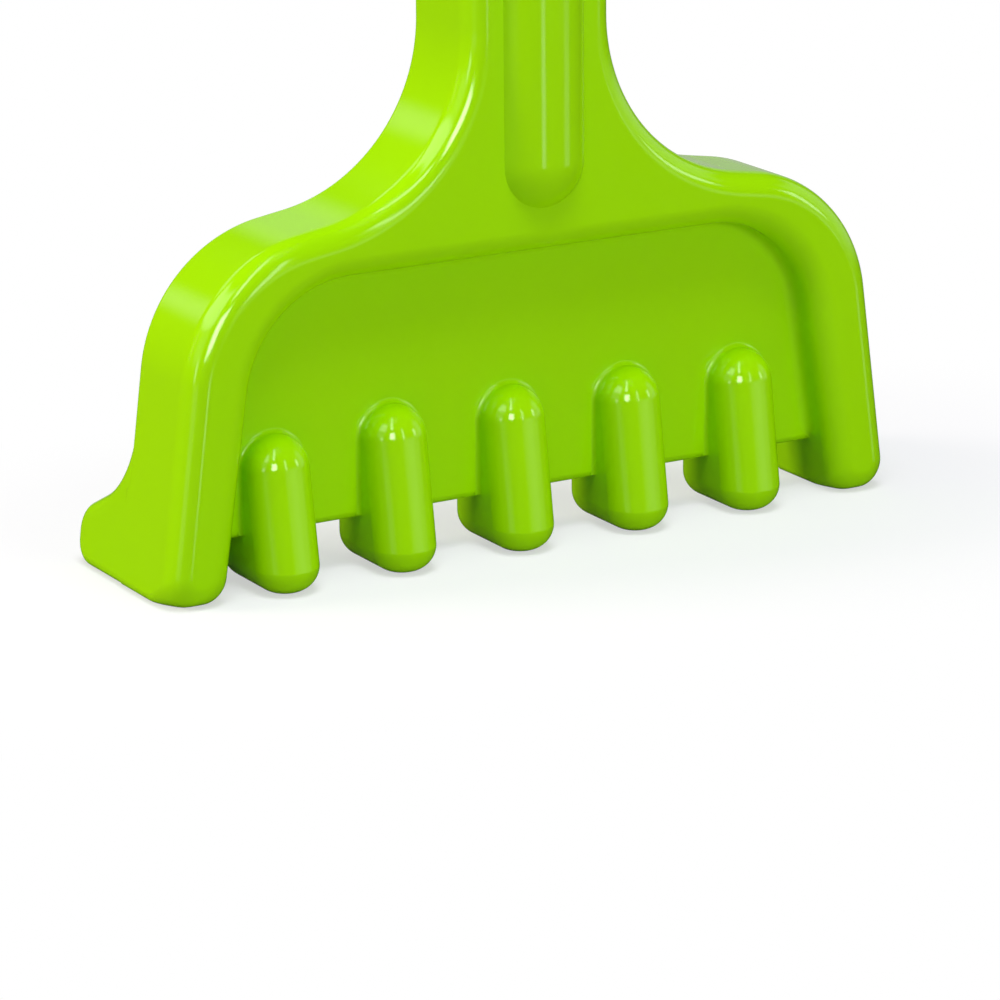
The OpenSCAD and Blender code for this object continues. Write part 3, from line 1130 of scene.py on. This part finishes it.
@dataclass
class Studio:
    """Camera, lights, floor and background."""

    camera: CameraSize = field(default_factory=CameraSize)
    cards: tuple[Card, ...] = CARDS
    ground: float = 0.02
    sky: Colour = (0.9, 1.0, 0.95)
    sky_strength: float = 0.25
    floor_reach: float = 6.0
    floor_paper: Colour = (0.86, 0.85, 0.93)
    floor_bounce: Colour = (0.5, 0.5, 0.5)
    floor_oval: Place = (1.0, 1.7, 1.0)
    floor_fade: tuple[float, float] = (0.08, 0.2)
    floor_lift: float = 0.55
    lights: tuple[Softbox, ...] = (
        Softbox("key_left", (-1.25, 0.5, 0.5), (0.5, 0.5), 15.0, colour=(1.0, 0.86, 0.72)),
        Softbox("top_soft", (-0.15, -0.35, 1.3), (0.6, 0.6), 12.0),
        Softbox("front_fill", (0.25, -1.6, 0.35), (0.5, 0.4), 9.5))

    def add_camera(self) -> None:
        """Place the camera."""
        c = self.camera
        az, el, roll = (math.radians(v) for v in (c.azimuth, c.elevation, c.roll))
        right = Vector((math.cos(az), math.sin(az), 0.0))
        ahead = Vector((-math.sin(az) * math.cos(el), math.cos(az) * math.cos(el), -math.sin(el)))
        up = right.cross(ahead)
        right, up = (math.cos(roll) * right + math.sin(roll) * up,
                     -math.sin(roll) * right + math.cos(roll) * up)
        data = bpy.data.cameras.new("camera")
        data.lens = c.lens
        data.sensor_width = c.sensor
        data.clip_end = c.far
        camera = bpy.data.objects.new("camera", data)
        eye = (Vector(c.target) - ahead * c.distance) * MM
        camera.matrix_world = Matrix((
            (right.x, up.x, -ahead.x, eye.x), (right.y, up.y, -ahead.y, eye.y),
            (right.z, up.z, -ahead.z, eye.z), (0, 0, 0, 1)))
        bpy.context.scene.collection.objects.link(camera)
        bpy.context.scene.camera = camera

    def add_lights(self) -> None:
        """Place the softboxes."""
        for box in self.lights:
            data = bpy.data.lights.new(box.name, "AREA")
            data.shape = "RECTANGLE"
            data.size, data.size_y = box.size
            data.energy = box.power
            data.color = box.colour
            light = bpy.data.objects.new(box.name, data)
            light.visible_glossy = False
            light.location = box.place
            aim = Vector(box.aim) - Vector(box.place)
            light.rotation_euler = aim.to_track_quat("-Z", "Y").to_euler()
            bpy.context.scene.collection.objects.link(light)

    def add_floor(self) -> None:
        """Lay the floor: paper under the rake that fades to white, and clear in the gloss."""
        mesh = bpy.data.meshes.new("floor")
        far = self.floor_reach
        mesh.from_pydata([(-far, -far, 0), (far, -far, 0), (far, far, 0), (-far, far, 0)],
                         [], [(0, 1, 2, 3)])
        material = bpy.data.materials.new("floor_paper")
        material.use_nodes = True
        tree = material.node_tree
        tree.nodes.clear()
        calc = NodeMaths(tree)
        paper = calc.node("ShaderNodeBsdfDiffuse", {"Color": (*self.floor_paper, 1.0)})
        bounce = calc.node("ShaderNodeBsdfDiffuse", {"Color": (*self.floor_bounce, 1.0)})
        white = calc.node("ShaderNodeEmission", {"Color": WHITE, "Strength": 1.0})
        place = calc.node("ShaderNodeTexCoord").outputs["Object"]
        oval = calc.node("ShaderNodeVectorMath", {0: place, 1: self.floor_oval}, operation="MULTIPLY")
        reach_out = calc.node("ShaderNodeVectorMath", {0: oval.outputs["Vector"]},
                              operation="LENGTH").outputs["Value"]
        near, off = self.floor_fade
        fade = calc.node("ShaderNodeMapRange", {"Value": reach_out, "From Min": near, "From Max": off},
                         interpolation_type="SMOOTHSTEP").outputs[0]
        seen = calc.node("ShaderNodeLightPath").outputs["Is Camera Ray"]
        lift = calc.node("ShaderNodeMapRange", {"Value": fade, "To Min": self.floor_lift,
                                                "To Max": 1.0})
        pale = calc.node("ShaderNodeMixShader", {0: lift.outputs[0], 1: paper.outputs[0],
                                                 2: white.outputs[0]})
        lit = calc.node("ShaderNodeMixShader", {0: seen, 1: bounce.outputs[0], 2: pale.outputs[0]})
        clear = calc.node("ShaderNodeBsdfTransparent", {"Color": WHITE})
        shiny = calc.node("ShaderNodeLightPath").outputs["Is Glossy Ray"]
        mix = calc.node("ShaderNodeMixShader", {0: shiny, 1: lit.outputs[0], 2: clear.outputs[0]})
        out = tree.nodes.new("ShaderNodeOutputMaterial")
        tree.links.new(mix.outputs[0], out.inputs[0])
        mesh.materials.append(material)
        floor = bpy.data.objects.new("floor", mesh)
        bpy.context.scene.collection.objects.link(floor)

    def add_world(self) -> None:
        """Set a soft world light, white where the camera sees it."""
        world = bpy.data.worlds.new("studio")
        bpy.context.scene.world = world
        world.use_nodes = True
        tree = world.node_tree
        tree.nodes.clear()
        calc = NodeMaths(tree)
        soft = calc.node("ShaderNodeBackground", {"Color": (*self.sky, 1.0),
                                                  "Strength": self.sky_strength})
        cards = calc.node("ShaderNodeBackground", {"Color": WHITE,
                                                   "Strength": self.card_light(calc)})
        white = calc.node("ShaderNodeBackground", {"Color": WHITE, "Strength": 1.0})
        path = calc.node("ShaderNodeLightPath").outputs
        shine = calc.node("ShaderNodeMixShader", {0: path["Is Glossy Ray"], 1: soft.outputs[0],
                                                  2: cards.outputs[0]})
        mix = calc.node("ShaderNodeMixShader", {0: path["Is Camera Ray"], 1: shine.outputs[0],
                                                2: white.outputs[0]})
        out = tree.nodes.new("ShaderNodeOutputWorld")
        tree.links.new(mix.outputs[0], out.inputs[0])

    def card_light(self, calc: NodeMaths) -> bpy.types.NodeSocket:
        """Return the brightness of the cards in a mirrored direction.

        Args:
            calc: Writes into the world's node tree.

        Returns:
            A faint ground level plus every card.
        """
        way = calc.node("ShaderNodeSeparateXYZ",
                        {0: calc.node("ShaderNodeTexCoord").outputs["Generated"]}).outputs
        turn = calc.maths("ARCTAN2", calc.maths("MULTIPLY", way[1], -1.0),
                          calc.maths("MULTIPLY", way[0], -1.0))
        rise = calc.maths("ARCSINE", way[2])
        total: object = self.ground
        for card in self.cards:
            aside = calc.maths("ABSOLUTE", calc.maths(
                "WRAP", calc.maths("SUBTRACT", turn, math.radians(card.azimuth)), math.pi, -math.pi))
            above = calc.maths("ABSOLUTE", calc.maths("SUBTRACT", rise, math.radians(card.elevation)))
            level: object = card.strength
            for distance, span in ((aside, card.width), (above, card.height)):
                outer, inner = (span + card.soft) / 2, max((span - card.soft) / 2, 0.01)
                edge = calc.node("ShaderNodeMapRange", {
                    "Value": distance, "From Min": math.radians(outer),
                    "From Max": math.radians(inner)}, interpolation_type="SMOOTHSTEP")
                level = calc.maths("MULTIPLY", level, edge.outputs[0])
            total = calc.maths("ADD", total, level)
        return total

    def build(self) -> None:
        """Set the whole studio up."""
        self.add_camera()
        self.add_lights()
        self.add_floor()
        self.add_world()
        bpy.context.scene.view_settings.view_transform = "Standard"


def main() -> None:
    """Build the studio and the rake."""
    logging.basicConfig(level=logging.INFO)
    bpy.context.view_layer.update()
    Studio().build()
    Rake().build()


if __name__ == "__main__":
    main()
